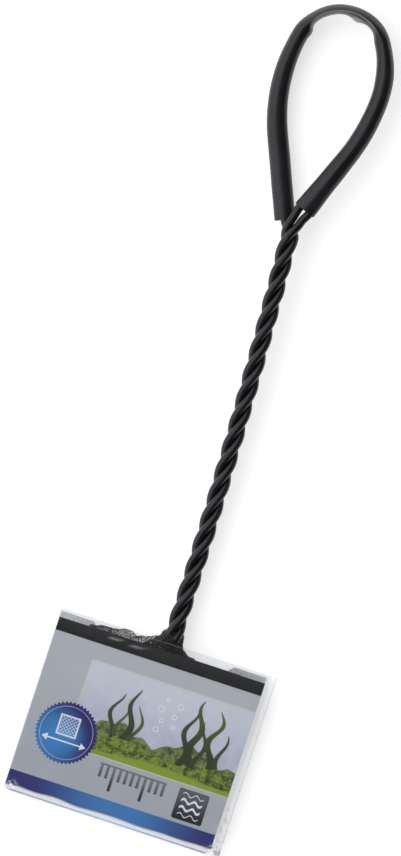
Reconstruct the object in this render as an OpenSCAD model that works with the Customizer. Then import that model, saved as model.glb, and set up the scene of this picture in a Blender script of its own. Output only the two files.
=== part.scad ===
// Aquarium fish net in its shop sleeve, lying on its back.
// One coated wire makes the square frame, the handle of three twisted strands and the crook:
// the left strand leaves the frame and enters the sleeve's cut end, goes round the crook and comes
// down the handle again as the third strand, while the right one ends just inside the sleeve.
// X runs across the net, Y towards the crook, Z up from the surface that it lies on.
// A place along the wires is its length, s, from the neck of the frame.

/* [Wire] */
// Diameter of the steel core
core_d = 2.3; // [1.8:0.1:2.4]
// Wall of the vinyl coating
coat_t = 0.55; // [0.4:0.05:0.6]
// Clearance between the core and its coating
core_gap = 0.05; // [0.02:0.01:0.1]
// Clearance between neighbouring strands of the handle
strand_gap = 0.12; // [0.1:0.01:0.3]

/* [Net frame] */
// Outer width of the frame, which is the nominal size of the net
frame_w = 80; // [70:1:100]
// Outer height of the frame
frame_h = 69.7; // [60:0.1:90]
// Bend radius at the frame's corners, to the middle of the wire
corner_r = 9; // [6:0.5:14]
// Bend radius where both sides of the frame turn up into the handle
neck_r = 3.2; // [2.8:0.1:4.5]

/* [Handle] */
// Length of the handle up to its bend into the crook
handle_len = 171.5; // [120:0.5:240]
// Length of one turn of the three strands, which is rounded to whole turns and a part turn
turn_len = 30.3; // [28:0.1:60]
// Length over which the twist starts, and over which it stops
twist_ease = 2.5; // [2:0.5:5]
// Length of twist that runs on into the bend
twist_runout = 7.6; // [6:0.1:7.8]
// Distance from the neck to the cut end of the third strand
tail_setback = 4; // [3.5:0.5:10]
// Sideways bow of the handle in degrees
bow_angle = 3.7; // [0:0.1:6]

/* [Crook] */
// Length of the bend between the handle and the first leg
bend_len = 10; // [10:0.5:14]
// Turn of that bend in degrees
bend_turn = 24.6; // [20:0.1:28]
// Straight length of the first leg
leg_len = 29.2; // [24:0.1:32]
// Bend radius where the crook starts to close in
rise_r = 83; // [70:1:90]
// Turn of that bend in degrees
rise_turn = 18.3; // [14:0.1:21]
// Bend radius of the shoulder, from there to the top
shoulder_r = 41; // [36:0.5:50]
// Turn of the shoulder in degrees
shoulder_turn = 32.5; // [28:0.1:36]
// Bend radius round the top
top_r = 17.7; // [17:0.1:22]
// Turn round the top in degrees
top_turn = 136.3; // [130:0.1:140]
// Bend radius of the second side, down to the last leg
fall_r = 67; // [56:0.5:80]
// Distance from the middle of the sleeve's mouth to that of its cut end, to the left
cut_end_left = 6.2; // [5.6:0.1:6.4]
// The same distance downwards
cut_end_down = 5.8; // [4.8:0.1:6]

/* [Grip sleeve] */
// Diameter of the vinyl sleeve before it is squeezed
sleeve_d = 8; // [7.9:0.1:8.4]
// Wall of the sleeve
sleeve_wall = 0.45; // [0.3:0.05:0.5]
// Width across the sleeve where it holds one wire
sleeve_w = 7.7; // [7.4:0.1:8.2]
// Width across its cut end
cut_end_w = 8.5; // [8:0.1:8.7]
// Width where it starts to fold flat round the top of the crook
fold_w = 6.7; // [6:0.1:7.4]
// Length over which it folds flat
fold_len = 7.5; // [6:0.5:10]
// Clearance to the wire where it is folded flat
fold_gap = 0.1; // [0.1:0.05:0.5]
// Clearance to the two wires near its mouth
pair_gap = 0.15; // [0.1:0.05:0.3]
// Widest gap between the two wires, at the sleeve's mouth
mouth_gap = 1.1; // [0.3:0.1:1.1]
// Distance from the bend to the sleeve's mouth
mouth_setback = 2.8; // [2.6:0.1:6]
// How far the right strand reaches into the sleeve
wire_reach = 16; // [8:0.5:20]
// Length over which the left wire then moves to the middle of the sleeve
settle_len = 20; // [14:1:24]
// Clearance between the handle and the sleeve's cut end, which passes under it
crossing_gap = 0.5; // [0.4:0.05:1]
// Degrees of twist from where the left strand leaves it to its end
leave_turn = 117; // [112:1:122]

/* [Net] */
// Thickness of the hem that is sewn round the frame
hem_t = 0.5; // [0.3:0.05:0.6]
// Clearance between the hem and the wire
hem_gap = 0.1; // [0.05:0.05:0.2]
// Length of bare frame to each side of the neck
hem_setback = 6; // [5.5:0.5:10]
// Thickness of each folded layer of netting
layer_t = 0.85; // [0.6:0.05:1]
// Air between the folded layers
layer_gap = 0.9; // [0.6:0.05:1.1]
// How far the netting shows above the middle of the top bar
fringe_h = 5; // [3:0.1:6]
// Length of netting that shows to the left of the neck
fringe_left = 30; // [20:1:34]
// Length of netting that shows to the right of the neck
fringe_right = 15; // [8:1:30]

/* [Card] */
// How far the card reaches past the frame at each side
card_margin = 3.25; // [3.1:0.05:10]
// Thickness of the card
card_t = 0.4; // [0.3:0.05:0.6]
// Space between the front and back panels
pocket_h = 7.2; // [6.6:0.1:9]
// Sideways shift of the card on the frame
card_shift = 2.4; // [-2.5:0.1:2.5]
// How far the front panel stands above the middle of the top bar
front_edge = 2.2; // [1.5:0.1:4]
// Length of the front panel's edge that rolls down over the bar
lip_len = 4.5; // [3:0.5:5]
// Radius of that roll
lip_r = 13; // [12:1:20]
// Height of the two ears on the back panel above the front panel
ear_h = 2.2; // [1:0.1:4]
// Width of each ear
ear_w = 13.6; // [8:0.1:20]
// Radius at the ends of the bottom fold
fold_corner_r = 3; // [1:0.5:3.5]

/* [Clear bag] */
// Thickness of the bag's film
film_t = 0.15; // [0.1:0.05:0.2]
// Clearance between the film and the card
film_gap = 0.3; // [0.2:0.05:0.5]
// Film beyond the card's left edge
film_left = 1.2; // [1.2:0.1:4]
// Film beyond the card's right edge
film_right = 4; // [1.2:0.1:6]
// Film above the card's front panel
film_top = 3.4; // [2.6:0.1:6]
// Width of the weld along each side
weld_w = 0.6; // [0.3:0.1:0.8]

/* [Hidden] */
$fn = 64;
wire_sides = 8;
sleeve_sides = 16;
rings_per_turn = 10;
exit_rings = 7;
// Steps of the rings along the crook, from each of its marks to the next
crook_steps = [3, 5, 3, 5, 4, 8, 4, 8, 3];
// The place of each strand round the middle at the neck, in degrees
left_side = 210;
right_side = 330;
tail_side = 90;
part_turn = 300;
// How hard the left strand's way into the sleeve holds each end's direction
leave_pull_share = 2.2;
enter_pull_share = 1.4;
// Cuts run this far past the faces that they open
cut = 1;
// Step for taking a direction along a wire
hair = 0.01;
// Clearance that the loose netting keeps from its neighbours
soft_gap = 0.3;

// The wire and the frame's middle line: the top bar lies at Y = 0 and the neck at X = 0
wire_d = core_d + 2 * (core_gap + coat_t);
wire_r = wire_d / 2;
strand_r = (wire_d + strand_gap) / 2;
lay_r = (wire_d + strand_gap) / sqrt(3);
bar_x = (frame_w - wire_d) / 2;
bar_y = -(frame_h - wire_d);

// Heights above the surface
card_outer_r = pocket_h / 2 + card_t;
film_outer_r = card_outer_r + film_gap + film_t;
frame_z = film_outer_r;
crook_end_z = sleeve_half_h(cut_end_w / 2);
handle_top_z = 2 * crook_end_z + crossing_gap + wire_r;

// Lengths along the handle and the crook from the neck
function arc_len(r, turn) = r * turn * PI / 180;
leg_end_s = handle_len + bend_len + leg_len;
rise_end_s = leg_end_s + arc_len(rise_r, rise_turn);
top_s = rise_end_s + arc_len(shoulder_r, shoulder_turn);
top_end_s = top_s + arc_len(top_r, top_turn);
mouth_s = handle_len + bend_len + mouth_setback;
crook_s = mouth_s + mouth_setback;
right_end_s = mouth_s + wire_reach;
settled_s = right_end_s + settle_len;
twist_len = handle_len + twist_runout;

// The place and heading, [x, y, heading], after a stretch
function after(pose, length, turn) =
    turn == 0
    ? [pose[0] + length * sin(pose[2]), pose[1] + length * cos(pose[2]), pose[2]]
    : let (r = length * 180 / PI / turn, h = pose[2] + turn)
      [pose[0] + r * (cos(pose[2]) - cos(h)), pose[1] + r * (sin(h) - sin(pose[2])), h];

// The route seen from above, up to the end of the top: each stretch's length and turn to the right
route_up = [[handle_len, -bow_angle], [bend_len, bend_turn], [leg_len, 0],
            [rise_end_s - leg_end_s, -rise_turn], [top_s - rise_end_s, -shoulder_turn],
            [top_end_s - top_s, -top_turn]];
function pose_on(route, s, i = 0, pose = [0, neck_r, 0]) =
    s <= route[i][0] || i == len(route) - 1
    ? after(pose, s, route[i][1] * s / route[i][0])
    : pose_on(route, s - route[i][0], i + 1, after(pose, route[i][0], route[i][1]));

// The second side bends until the last leg, its tangent, runs straight to the cut end
mouth = pose_on(route_up, mouth_s);
top_end = pose_on(route_up, top_end_s);
// From the bend's centre to the cut end
cut_x = mouth[0] - cut_end_left - (top_end[0] - fall_r * cos(top_end[2]));
cut_y = mouth[1] - cut_end_down - (top_end[1] + fall_r * sin(top_end[2]));
end_leg_len = sqrt(cut_x * cut_x + cut_y * cut_y - fall_r * fall_r);
fall_turn = (top_end[2] - atan2(end_leg_len, fall_r) + atan2(cut_y, cut_x) + 720) % 360;
last_leg_s = top_end_s + arc_len(fall_r, fall_turn);
total_s = last_leg_s + end_leg_len;
route = concat(route_up, [[last_leg_s - top_end_s, -fall_turn], [end_leg_len, 0]]);
function pose_at(s) = pose_on(route, s);

function smooth(share) = let (c = min(1, max(0, share))) c * c * (3 - 2 * c);
function bump(x, width) = exp(-pow(x / width, 2));

// The height of the pair of wires that the frame holds at the neck, and of the sleeve further on
function height_at(s) =
    s < mouth_s
    ? frame_z + (handle_top_z - frame_z) * smooth(s / mouth_s)
    : handle_top_z + (crook_end_z - handle_top_z) * smooth((s - mouth_s) / (total_s - mouth_s));
function pair_at(s) = let (p = pose_at(s)) [p[0], p[1], height_at(s)];

// The middle of the three strands lies above the pair at the neck and below it at the mouth
function middle_at(s) = pair_at(s) + [0, 0, lay_r / 2 * (1 - 2 * smooth(s / mouth_s))];

// Degrees of twist so far: the rate climbs over the ease, holds, and falls over the ease
even_turn_len = twist_len - twist_ease;
total_twist = 360 * round(even_turn_len / turn_len - part_turn / 360) + part_turn;
twist_rate = total_twist / even_turn_len;
leave_s = twist_len - leave_turn / twist_rate - twist_ease / 2;
function eased(x) = x < twist_ease ? x * x / (2 * twist_ease) : x - twist_ease / 2;
function twist_at(s) =
    s < twist_len / 2
    ? twist_rate * eased(s)
    : total_twist - twist_rate * eased(max(0, twist_len - s));

// The strands are spread sideways at the sleeve's mouth
function splay_at(s) = 1 + (mouth_gap - strand_gap) / (2 * strand_r) * bump(s - mouth_s, mouth_setback);

// In the sleeve the left wire moves to the middle, where the right one has ended
function settle_at(s) = 1 - smooth((s - right_end_s) / settle_len);

// The direction from the middle to a strand with its splay, and the strand's middle line
function outward(s, side, splay = 1) =
    let (h = pose_at(s)[2], a = side - twist_at(s))
    [splay * cos(a) * cos(h), -splay * cos(a) * sin(h), sin(a)];
function wire_at(s, side) = middle_at(s) + lay_r * outward(s, side, splay_at(s) * settle_at(s));

function unit(v) = v / norm(v);
function run_at(s, side) =
    s == 0 ? [0, 1, 0] : unit(wire_at(s + hair, side) - wire_at(s - hair, side));

// Points round a wire, in the plane square to it, with a flat side towards the middle
function ring_at(place, along, out, r) =
    let (u = unit(out - (out * along) * along), v = cross(along, u))
    [for (i = [0:wire_sides - 1]) let (a = (i + 0.5) * 360 / wire_sides)
        place + r * (cos(a) * u + sin(a) * v)];
function wire_ring(s, side, r) = ring_at(wire_at(s, side), run_at(s, side), outward(s, side), r);
function wire_rings(stations, side, r) = [for (s = stations) wire_ring(s, side, r)];

// The left strand's way out from under the twist into the sleeve's cut end, where t goes from 0 to 1
leave_at = wire_at(leave_s, left_side);
enter_at = wire_at(total_s, tail_side);
leave_run = norm(enter_at - leave_at) * leave_pull_share * run_at(leave_s, left_side);
enter_run = -norm(enter_at - leave_at) * enter_pull_share * run_at(total_s, tail_side);
function exit_at(t) =
    leave_at + smooth(t) * (enter_at - leave_at)
    + t * pow(1 - t, 2) * leave_run - t * t * (1 - t) * enter_run;
function exit_run(t) =
    6 * t * (1 - t) * (enter_at - leave_at)
    + (1 - t) * (1 - 3 * t) * leave_run + t * (3 * t - 2) * enter_run;
function exit_out(t) = (1 - t) * outward(leave_s, left_side) + t * outward(total_s, tail_side);
function exit_ring(t, r) = ring_at(exit_at(t), unit(exit_run(t)), exit_out(t), r);

// The sleeve's half width at its marks: it holds two wires, then one, and folds flat round the top
pair_half_w = wire_r + pair_gap + sleeve_wall;
fold_half_w = wire_r + fold_gap + sleeve_wall;
half_w_marks = [[mouth_s, (wire_d + mouth_gap) / 2 + pair_half_w], [right_end_s, strand_r + pair_half_w],
                [settled_s, sleeve_w / 2], [rise_end_s, sleeve_w / 2], [top_s, fold_w / 2],
                [top_s + fold_len, fold_half_w], [top_end_s - fold_len, fold_half_w],
                [top_end_s, fold_w / 2], [last_leg_s, cut_end_w / 2], [total_s, cut_end_w / 2]];
function sleeve_half_w(s, i = 0) =
    let (from = half_w_marks[i], to = half_w_marks[i + 1])
    s <= to[0] || i == len(half_w_marks) - 2
    ? from[1] + (to[1] - from[1]) * smooth((s - from[0]) / (to[0] - from[0]))
    : sleeve_half_w(s, i + 1);
// Squeezed to a half width, the sleeve grows taller and keeps its girth
function sleeve_half_h(half_w) = sqrt(sleeve_d * sleeve_d / 2 - half_w * half_w);
function sleeve_ring(s, wall) =
    let (h = pose_at(s)[2], across = [cos(h), -sin(h), 0], w = sleeve_half_w(s), up = sleeve_half_h(w))
    [for (i = [0:sleeve_sides - 1]) let (a = (i + 0.5) * 360 / sleeve_sides)
        pair_at(s) + (w - wall) * cos(a) * across - [0, 0, (up - wall) * sin(a)]];

// Faces between two rows of points, and round the sides of a pile of rings, from a first point on
function band(a, b, n) =
    [for (i = [0:n - 1]) let (j = (i + 1) % n) each [[a + i, b + i, b + j], [a + i, b + j, a + j]]];
function sides(first, rings, n) =
    [for (k = [0:rings - 2]) each band(first + k * n, first + (k + 1) * n, n)];

// A solid bar with a pile of rings for its skin
module ring_bar(rings) {
    n = len(rings[0]);
    last = (len(rings) - 1) * n;
    polyhedron(
        points = [for (r = rings) each r],
        faces = concat([[for (i = [0:n - 1]) i]], sides(0, len(rings), n),
                       [[for (i = [0:n - 1]) last + n - 1 - i]]),
        convexity = 10);
}

// A tube between two piles of rings, the outer and the bore
module ring_tube(outer, bore) {
    n = len(outer[0]);
    last = (len(outer) - 1) * n;
    inner = last + n;
    polyhedron(
        points = [for (r = concat(outer, bore)) each r],
        faces = concat(
            sides(0, len(outer), n),
            [for (f = sides(inner, len(bore), n)) [f[0], f[2], f[1]]],
            [for (f = band(0, inner, n)) [f[0], f[2], f[1]]],
            band(last, inner + last, n)),
        convexity = 10);
}

// Rings stand at these lengths on the strands, and at these on the crook
strand_steps = ceil(total_twist / 360 * rings_per_turn) + 4;
function stations(from, to) =
    let (n = ceil(strand_steps * (to - from) / crook_s))
    [for (k = [0:n]) from + (to - from) * k / n];
crook_marks = [crook_s, right_end_s, settled_s, rise_end_s, top_s, top_s + fold_len,
               top_end_s - fold_len, top_end_s, last_leg_s, total_s];
crook_stations = concat([crook_s], [
    for (i = [0:len(crook_steps) - 1], k = [1:crook_steps[i]])
        crook_marks[i] + (crook_marks[i + 1] - crook_marks[i]) * k / crook_steps[i]]);
right_crook_stations = [for (s = crook_stations) if (s <= right_end_s) s];
sleeve_stations = concat([mouth_s], crook_stations);

// The wires' skins at a distance from their middle lines
function left_rings(r) = concat(
    wire_rings(stations(0, leave_s), left_side, r),
    [for (k = [1:exit_rings]) exit_ring(k / exit_rings, r)]);
function right_rings(r) = wire_rings(stations(0, crook_s), right_side, r);
function tail_rings(r) = wire_rings(stations(tail_setback, crook_s), tail_side, r);
function left_crook_rings(r) = wire_rings(crook_stations, tail_side, r);
function right_crook_rings(r) = wire_rings(right_crook_stations, right_side, r);

core_r = core_d / 2;
bore_r = core_r + core_gap;
module core(rings) color("#9a9da1") ring_bar(rings);
module coat(rings, bore) color("#222427") ring_tube(rings, bore);

// A straight bar between two places in the plane of the frame
module bar(from, to, d) {
    run = to - from;
    translate([from[0], from[1], frame_z])
        rotate([0, 90, atan2(run[1], run[0])])
            cylinder(d = d, h = norm(run));
}

// A quarter bend whose middle line has a radius, from an angle onwards
module elbow(centre, r, start, d)
    translate([centre[0], centre[1], frame_z])
        rotate([0, 0, start])
            rotate_extrude(angle = 90)
                translate([r, 0])
                    circle(d = d);

// The frame's run from one side of the neck round to the other
module frame_run(d, setback) {
    in_x = bar_x - corner_r;
    in_y = bar_y + corner_r;
    for (m = [0, 1]) mirror([m, 0, 0]) {
        bar([setback, 0], [in_x, 0], d);
        elbow([in_x, -corner_r], corner_r, 0, d);
        bar([bar_x, -corner_r], [bar_x, in_y], d);
        elbow([in_x, in_y], corner_r, 270, d);
    }
    bar([-in_x, bar_y], [in_x, bar_y], d);
}

// The whole frame with both bends of the neck
module frame_solid(d) {
    neck_x = strand_r + neck_r;
    frame_run(d, neck_x);
    for (m = [0, 1]) mirror([m, 0, 0]) elbow([neck_x, neck_r], neck_r, 180, d);
}

module frame_core() color("#9a9da1") frame_solid(core_d);

module frame_coat() color("#222427")
    difference() {
        frame_solid(wire_d);
        frame_solid(core_d + 2 * core_gap);
        // The bore runs on through both ends at the neck
        for (x = [-strand_r, strand_r])
            bar([x, neck_r], [x, neck_r + cut], core_d + 2 * core_gap);
    }

module left_strand_core() core(left_rings(core_r));
module left_strand_coat() coat(left_rings(wire_r), left_rings(bore_r));
module right_strand_core() core(right_rings(core_r));
module right_strand_coat() coat(right_rings(wire_r), right_rings(bore_r));
module tail_strand_core() core(tail_rings(core_r));
module tail_strand_coat() coat(tail_rings(wire_r), tail_rings(bore_r));
module left_crook_core() core(left_crook_rings(core_r));
module left_crook_coat() coat(left_crook_rings(wire_r), left_crook_rings(bore_r));
module right_crook_core() core(right_crook_rings(core_r));
module right_crook_coat() coat(right_crook_rings(wire_r), right_crook_rings(bore_r));

module grip_sleeve() color("#2c2e30")
    ring_tube([for (s = sleeve_stations) sleeve_ring(s, 0)],
              [for (s = sleeve_stations) sleeve_ring(s, sleeve_wall)]);

hem_in_d = wire_d + 2 * hem_gap;
hem_out_d = hem_in_d + 2 * hem_t;
module hem_band() color("#17181b")
    difference() {
        frame_run(hem_out_d, hem_setback);
        frame_run(hem_in_d, hem_setback - cut);
    }

// The netting is folded flat inside the frame in three layers
bag_x = bar_x - hem_out_d / 2 - soft_gap;
bag_z = frame_z - pocket_h / 2 + soft_gap;
bag_y0 = bar_y + hem_out_d / 2 + soft_gap;
bag_y1 = -hem_out_d / 2 - soft_gap;
layer_pitch = layer_t + layer_gap;
turn_r = layer_t + layer_gap / 2;
// The netting that passes under the hem is drawn thin there
fringe_t = pocket_h / 2 - 2 * soft_gap - hem_out_d / 2;

// The layers in section, drawn as Y and Z: one half-round turn joins each to the next
module layer(k, y0, y1)
    translate([y0, k * layer_pitch])
        square([y1 - y0, layer_t]);

module layer_turn(k, y, side)
    translate([y, k * layer_pitch + turn_r])
        mirror([side, 0])
            intersection() {
                difference() {
                    circle(r = turn_r);
                    circle(r = turn_r - layer_t);
                }
                translate([-turn_r, -turn_r])
                    square([turn_r, 2 * turn_r]);
            }

// A low arched lobe over a base from one X to another
module lobe(x0, x1) {
    half = (x1 - x0) / 2;
    r = (half * half + fringe_h * fringe_h) / (2 * fringe_h);
    intersection() {
        translate([x0 + half, fringe_h - r])
            circle(r = r);
        translate([x0, 0])
            square([x1 - x0, fringe_h]);
    }
}

// The room inside the hem, with its round corners
module window() {
    in_x = bar_x - corner_r;
    in_y = bar_y + corner_r;
    translate([-bag_x, in_y])
        square([2 * bag_x, -corner_r - in_y]);
    translate([-in_x, bag_y0])
        square([2 * in_x, bag_y1 - bag_y0]);
    for (x = [-in_x, in_x], y = [in_y, -corner_r])
        translate([x, y])
            circle(r = corner_r - hem_out_d / 2 - soft_gap);
}

module net_bag() color("#202225") {
    intersection() {
        translate([-bag_x, 0, bag_z])
            rotate([90, 0, 90])
                linear_extrude(2 * bag_x) {
                    layer(0, bag_y0 + turn_r, bag_y1);
                    layer_turn(0, bag_y0 + turn_r, 0);
                    layer(1, bag_y0 + turn_r, bag_y1 - turn_r);
                    layer_turn(1, bag_y1 - turn_r, 1);
                    layer(2, bag_y0, bag_y1 - turn_r);
                }
        translate([0, 0, bag_z])
            linear_extrude(3 * layer_pitch)
                window();
    }
    // The lowest layer passes under the top bar and shows as two lobes beside the neck
    translate([0, 0, bag_z])
        linear_extrude(fringe_t) {
            translate([-fringe_left, bag_y1 - layer_t])
                square([fringe_left + fringe_right, layer_t - bag_y1]);
            lobe(-fringe_left, 0);
            lobe(-fringe_right / 2, fringe_right);
        }
}

// The card wraps the frame from below: its section, drawn as Y and Z from the bottom bar
lip_angle = lip_len / lip_r * 180 / PI;
lip_y = front_edge - bar_y - lip_r * sin(lip_angle);
card_w = frame_w + 2 * card_margin;
card_x0 = -card_w / 2 - card_shift;
card_x1 = card_x0 + card_w;

module card_section() {
    // The fold round the bottom bar
    intersection() {
        difference() {
            circle(r = card_outer_r);
            circle(r = card_outer_r - card_t);
        }
        translate([-card_outer_r, -card_outer_r])
            square([card_outer_r, 2 * card_outer_r]);
    }
    // The back panel and the front panel
    translate([0, -card_outer_r])
        square([front_edge + ear_h - bar_y, card_t]);
    translate([0, card_outer_r - card_t])
        square([lip_y, card_t]);
    // The front panel's lip
    translate([lip_y, card_outer_r - lip_r])
        intersection() {
            difference() {
                circle(r = lip_r);
                circle(r = lip_r - card_t);
            }
            polygon([[0, 0], [0, 2 * lip_r], 2 * lip_r * [tan(lip_angle), 1]]);
        }
}

module card_sleeve() color("#b4b7bf")
    difference() {
        translate([card_x0, bar_y, frame_z])
            rotate([90, 0, 90])
                linear_extrude(card_w)
                    card_section();
        // The back panel's edge steps down between its two ears
        translate([card_x0, front_edge, frame_z - card_outer_r - cut])
            linear_extrude(card_t + 2 * cut)
                polygon([[ear_w - cut, ear_h + cut], [ear_w + ear_h, 0], [card_w - ear_w - ear_h, 0],
                         [card_w - ear_w + cut, ear_h + cut]]);
        // The fold has rounded ends
        for (m = [0, 1])
            translate([m == 0 ? card_x0 : card_x1, bar_y - card_outer_r, frame_z - card_outer_r - cut])
                mirror([m, 0, 0])
                    linear_extrude(2 * (card_outer_r + cut))
                        difference() {
                            translate([-cut, -cut])
                                square(fold_corner_r + cut);
                            translate([fold_corner_r, fold_corner_r])
                                circle(r = fold_corner_r);
                        }
    }

film_x0 = card_x0 - film_left;
film_x1 = card_x1 + film_right;
film_y1 = front_edge + film_top;

// The bag's outline in section, drawn as X and Z: flat over the card and drawn in at each side
function film_outline(x0, flat_x0, flat_x1, x1, half_h, half_tip) = concat(
    [[x0, half_tip], [flat_x0, half_h], [flat_x1, half_h], [x1, half_tip]],
    half_tip == 0 ? [] : [[x1, -half_tip]],
    [[flat_x1, -half_h], [flat_x0, -half_h]],
    half_tip == 0 ? [] : [[x0, -half_tip]]);

// A bag with that outline and a round bottom, up to its mouth
module film_solid(outline, r, mouth_y)
    intersection() {
        translate([film_x0, bar_y, frame_z])
            rotate([90, 0, 90])
                linear_extrude(film_x1 - film_x0) {
                    circle(r = r);
                    translate([0, -r])
                        square([mouth_y - bar_y, 2 * r]);
                }
        translate([0, mouth_y + cut, frame_z])
            rotate([90, 0, 0])
                linear_extrude(mouth_y - bar_y + film_outer_r + 2 * cut)
                    polygon(outline);
    }

module clear_bag() color("#e8eef4", 0.3) {
    in_x0 = card_x0 - film_gap;
    in_x1 = card_x1 + film_gap;
    difference() {
        film_solid(film_outline(film_x0, in_x0 - film_t, in_x1 + film_t, film_x1, film_outer_r, film_t),
                   film_outer_r, film_y1);
        film_solid(film_outline(film_x0 + weld_w, in_x0, in_x1, film_x1 - weld_w, film_outer_r - film_t, 0),
                   film_outer_r - film_t, film_y1 + cut);
    }
}

// The origin is under the middle of the whole object
top_y = max([for (s = sleeve_stations, p = sleeve_ring(s, 0)) p[1]]);
bottom_y = bar_y - film_outer_r;
origin = [(film_x0 + film_x1) / 2, (top_y + bottom_y) / 2, 0];

translate(-origin) {
    frame_core();
    frame_coat();
    left_strand_core();
    left_strand_coat();
    right_strand_core();
    right_strand_coat();
    tail_strand_core();
    tail_strand_coat();
    left_crook_core();
    left_crook_coat();
    right_crook_core();
    right_crook_coat();
    grip_sleeve();
    hem_band();
    net_bag();
    card_sleeve();
    clear_bag();
}
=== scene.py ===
"""An aquarium fish net as it is sold: a coated wire twisted into a handle, a netting bag folded
flat inside its square frame, a printed card wrapped round that, and a clear film bag over it.

The surfaces are worked out in millimetres from the neck of the frame, with X across the net, Y
towards the crook and Z up, as in the part's source, and placed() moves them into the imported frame.
"""
import bmesh
import bpy
import numpy as np
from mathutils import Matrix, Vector


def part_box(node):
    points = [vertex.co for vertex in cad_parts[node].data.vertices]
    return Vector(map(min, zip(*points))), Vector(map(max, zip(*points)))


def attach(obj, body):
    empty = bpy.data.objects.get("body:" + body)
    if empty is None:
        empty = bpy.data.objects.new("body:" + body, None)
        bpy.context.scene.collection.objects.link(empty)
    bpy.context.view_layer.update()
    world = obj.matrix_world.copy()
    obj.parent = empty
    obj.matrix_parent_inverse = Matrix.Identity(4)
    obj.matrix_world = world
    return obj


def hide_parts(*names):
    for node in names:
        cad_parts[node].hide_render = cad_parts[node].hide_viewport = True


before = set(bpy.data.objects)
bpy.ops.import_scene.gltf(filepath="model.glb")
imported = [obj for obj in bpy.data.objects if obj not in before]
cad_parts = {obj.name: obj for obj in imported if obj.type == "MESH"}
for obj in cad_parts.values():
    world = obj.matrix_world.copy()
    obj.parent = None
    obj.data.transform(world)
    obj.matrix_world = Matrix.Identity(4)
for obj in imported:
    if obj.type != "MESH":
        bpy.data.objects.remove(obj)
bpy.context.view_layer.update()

# ---- Sizes, as in the part's source ----

# Wire and frame
WIRE_R = 1.75
BORE_R = 1.2
STRAND_GAP = 0.12
STRAND_R = WIRE_R + STRAND_GAP / 2
LAY_R = 2 * STRAND_R / 3**0.5
NECK_R = 3.2
CORNER_R = 9.0
BAR_X = 38.25
BAR_Y = -66.2
FRAME_Z = 4.45
# Handle and crook
TOTAL_TWIST = 2100.0
TWIST_EASE = 2.5
TWIST_LEN = 179.1
LEFT, RIGHT, TAIL = 210.0, 330.0, 90.0
TAIL_S = 4.0
LEAVE_S = 168.011
LEAVE_PULL = 2.2
ENTER_PULL = 1.4
MOUTH_S = 184.3
CROOK_S = 187.1
HANDLE_TOP_Z = 9.7166
CROOK_END_Z = 3.7333
# Grip sleeve: its diameter before it is squeezed, and how far it reaches to each side of the wires
SLEEVE_D = 8.0
SLEEVE_WALL = 0.45
OUTER_W_MARKS = (
    (184.3, 4.65), (200.3, 4.16), (220.3, 3.85), (245.0, 3.7), (262.0, 3.2), (282.0, 2.3),
    (293.0, 2.35), (304.0, 3.4), (330.0, 3.9), (345.7, 4.2), (380.216, 4.25),
)
INNER_W_MARKS = (
    (184.3, 4.65), (200.3, 4.16), (220.3, 3.85), (245.0, 3.7), (261.0, 3.3), (268.5, 1.85),
    (292.0, 1.75), (297.0, 1.9), (303.0, 3.45), (330.0, 4.0), (345.7, 4.25), (380.216, 4.25),
)
RIGHT_END_S = 200.3
SETTLE_LEN = 20.0
MOUTH_GAP = 1.1
MOUTH_SETBACK = 2.8
# Hem and netting
HEM_R = 2.35
HEM_BORE_R = 1.85
HEM_SETBACK = 6.0
STITCH = 2.6
NET_X = 35.6
NET_TOP = -2.65
NET_BOTTOM = -63.55
LAYER_Z = (1.575, 3.325, 5.075)
# Card
CARD_X0 = -45.65
CARD_W = 86.5
CARD_T = 0.4
CARD_R = 4.0
FRONT_EDGE = 2.2
LIP_LEN = 4.5
LIP_R = 13.0
EAR_H = 2.2
EAR_W = 13.6
FOLD_CORNER_R = 3.0
# Film
FILM_X0 = -46.85
FILM_X1 = 44.85
FILM_R = 4.45
FILM_TOP = 5.6
FILM_T = 0.08
FILM_ROWS, FILM_TURN_ROWS, FILM_COLUMNS = 150, 26, 150

low, high = (np.array(corner) * 1000 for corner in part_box("frame_coat"))
NECK = np.array(((low[0] + high[0]) / 2, high[1] - NECK_R, 0.0))


def placed(points):
    """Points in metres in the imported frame, from points in mm from the neck."""
    return (np.asarray(points) + NECK) / 1000


# ---- Curves ----


def smooth(share):
    """3 c^2 - 2 c^3, where c is the share held between 0 and 1."""
    c = np.clip(share, 0, 1)
    return c * c * (3 - 2 * c)


def span(x, low, high, soft):
    """1 from low to high, falling smoothly to 0 at both over the soft length inside."""
    return smooth((x - low) / soft) * smooth((high - x) / soft)


def bump(x, width):
    """exp(-(x / width)^2), a soft hill of height 1."""
    return np.exp(-((x / width) ** 2))


def ripple(a, b, length, seed, waves=7):
    """A sum of sine waves in seeded directions, each about one length long, from -1 to 1."""
    rng = np.random.default_rng(seed)
    angle, phase = rng.uniform(0, 2 * np.pi, (2, waves))
    pace = 2 * np.pi / (length * rng.uniform(0.7, 1.6, waves))
    total = sum(
        np.sin(k * (a * np.cos(t) + b * np.sin(t)) + p) for t, p, k in zip(angle, phase, pace)
    )
    return total / waves * 1.6


def unit(v):
    """Vectors divided by their lengths."""
    return v / np.linalg.norm(v, axis=-1, keepdims=True)


def arc_end(x, y, h, length, turn):
    """Where an arc ends that starts at x, y with the heading h. Heading 0 is towards Y.

    Its chord is length sin(turn / 2) / (turn / 2) long, in the direction h + turn / 2.
    """
    chord = length * np.sinc(turn / 2 / np.pi)
    return x + chord * np.sin(h + turn / 2), y + chord * np.cos(h + turn / 2), h + turn


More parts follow.
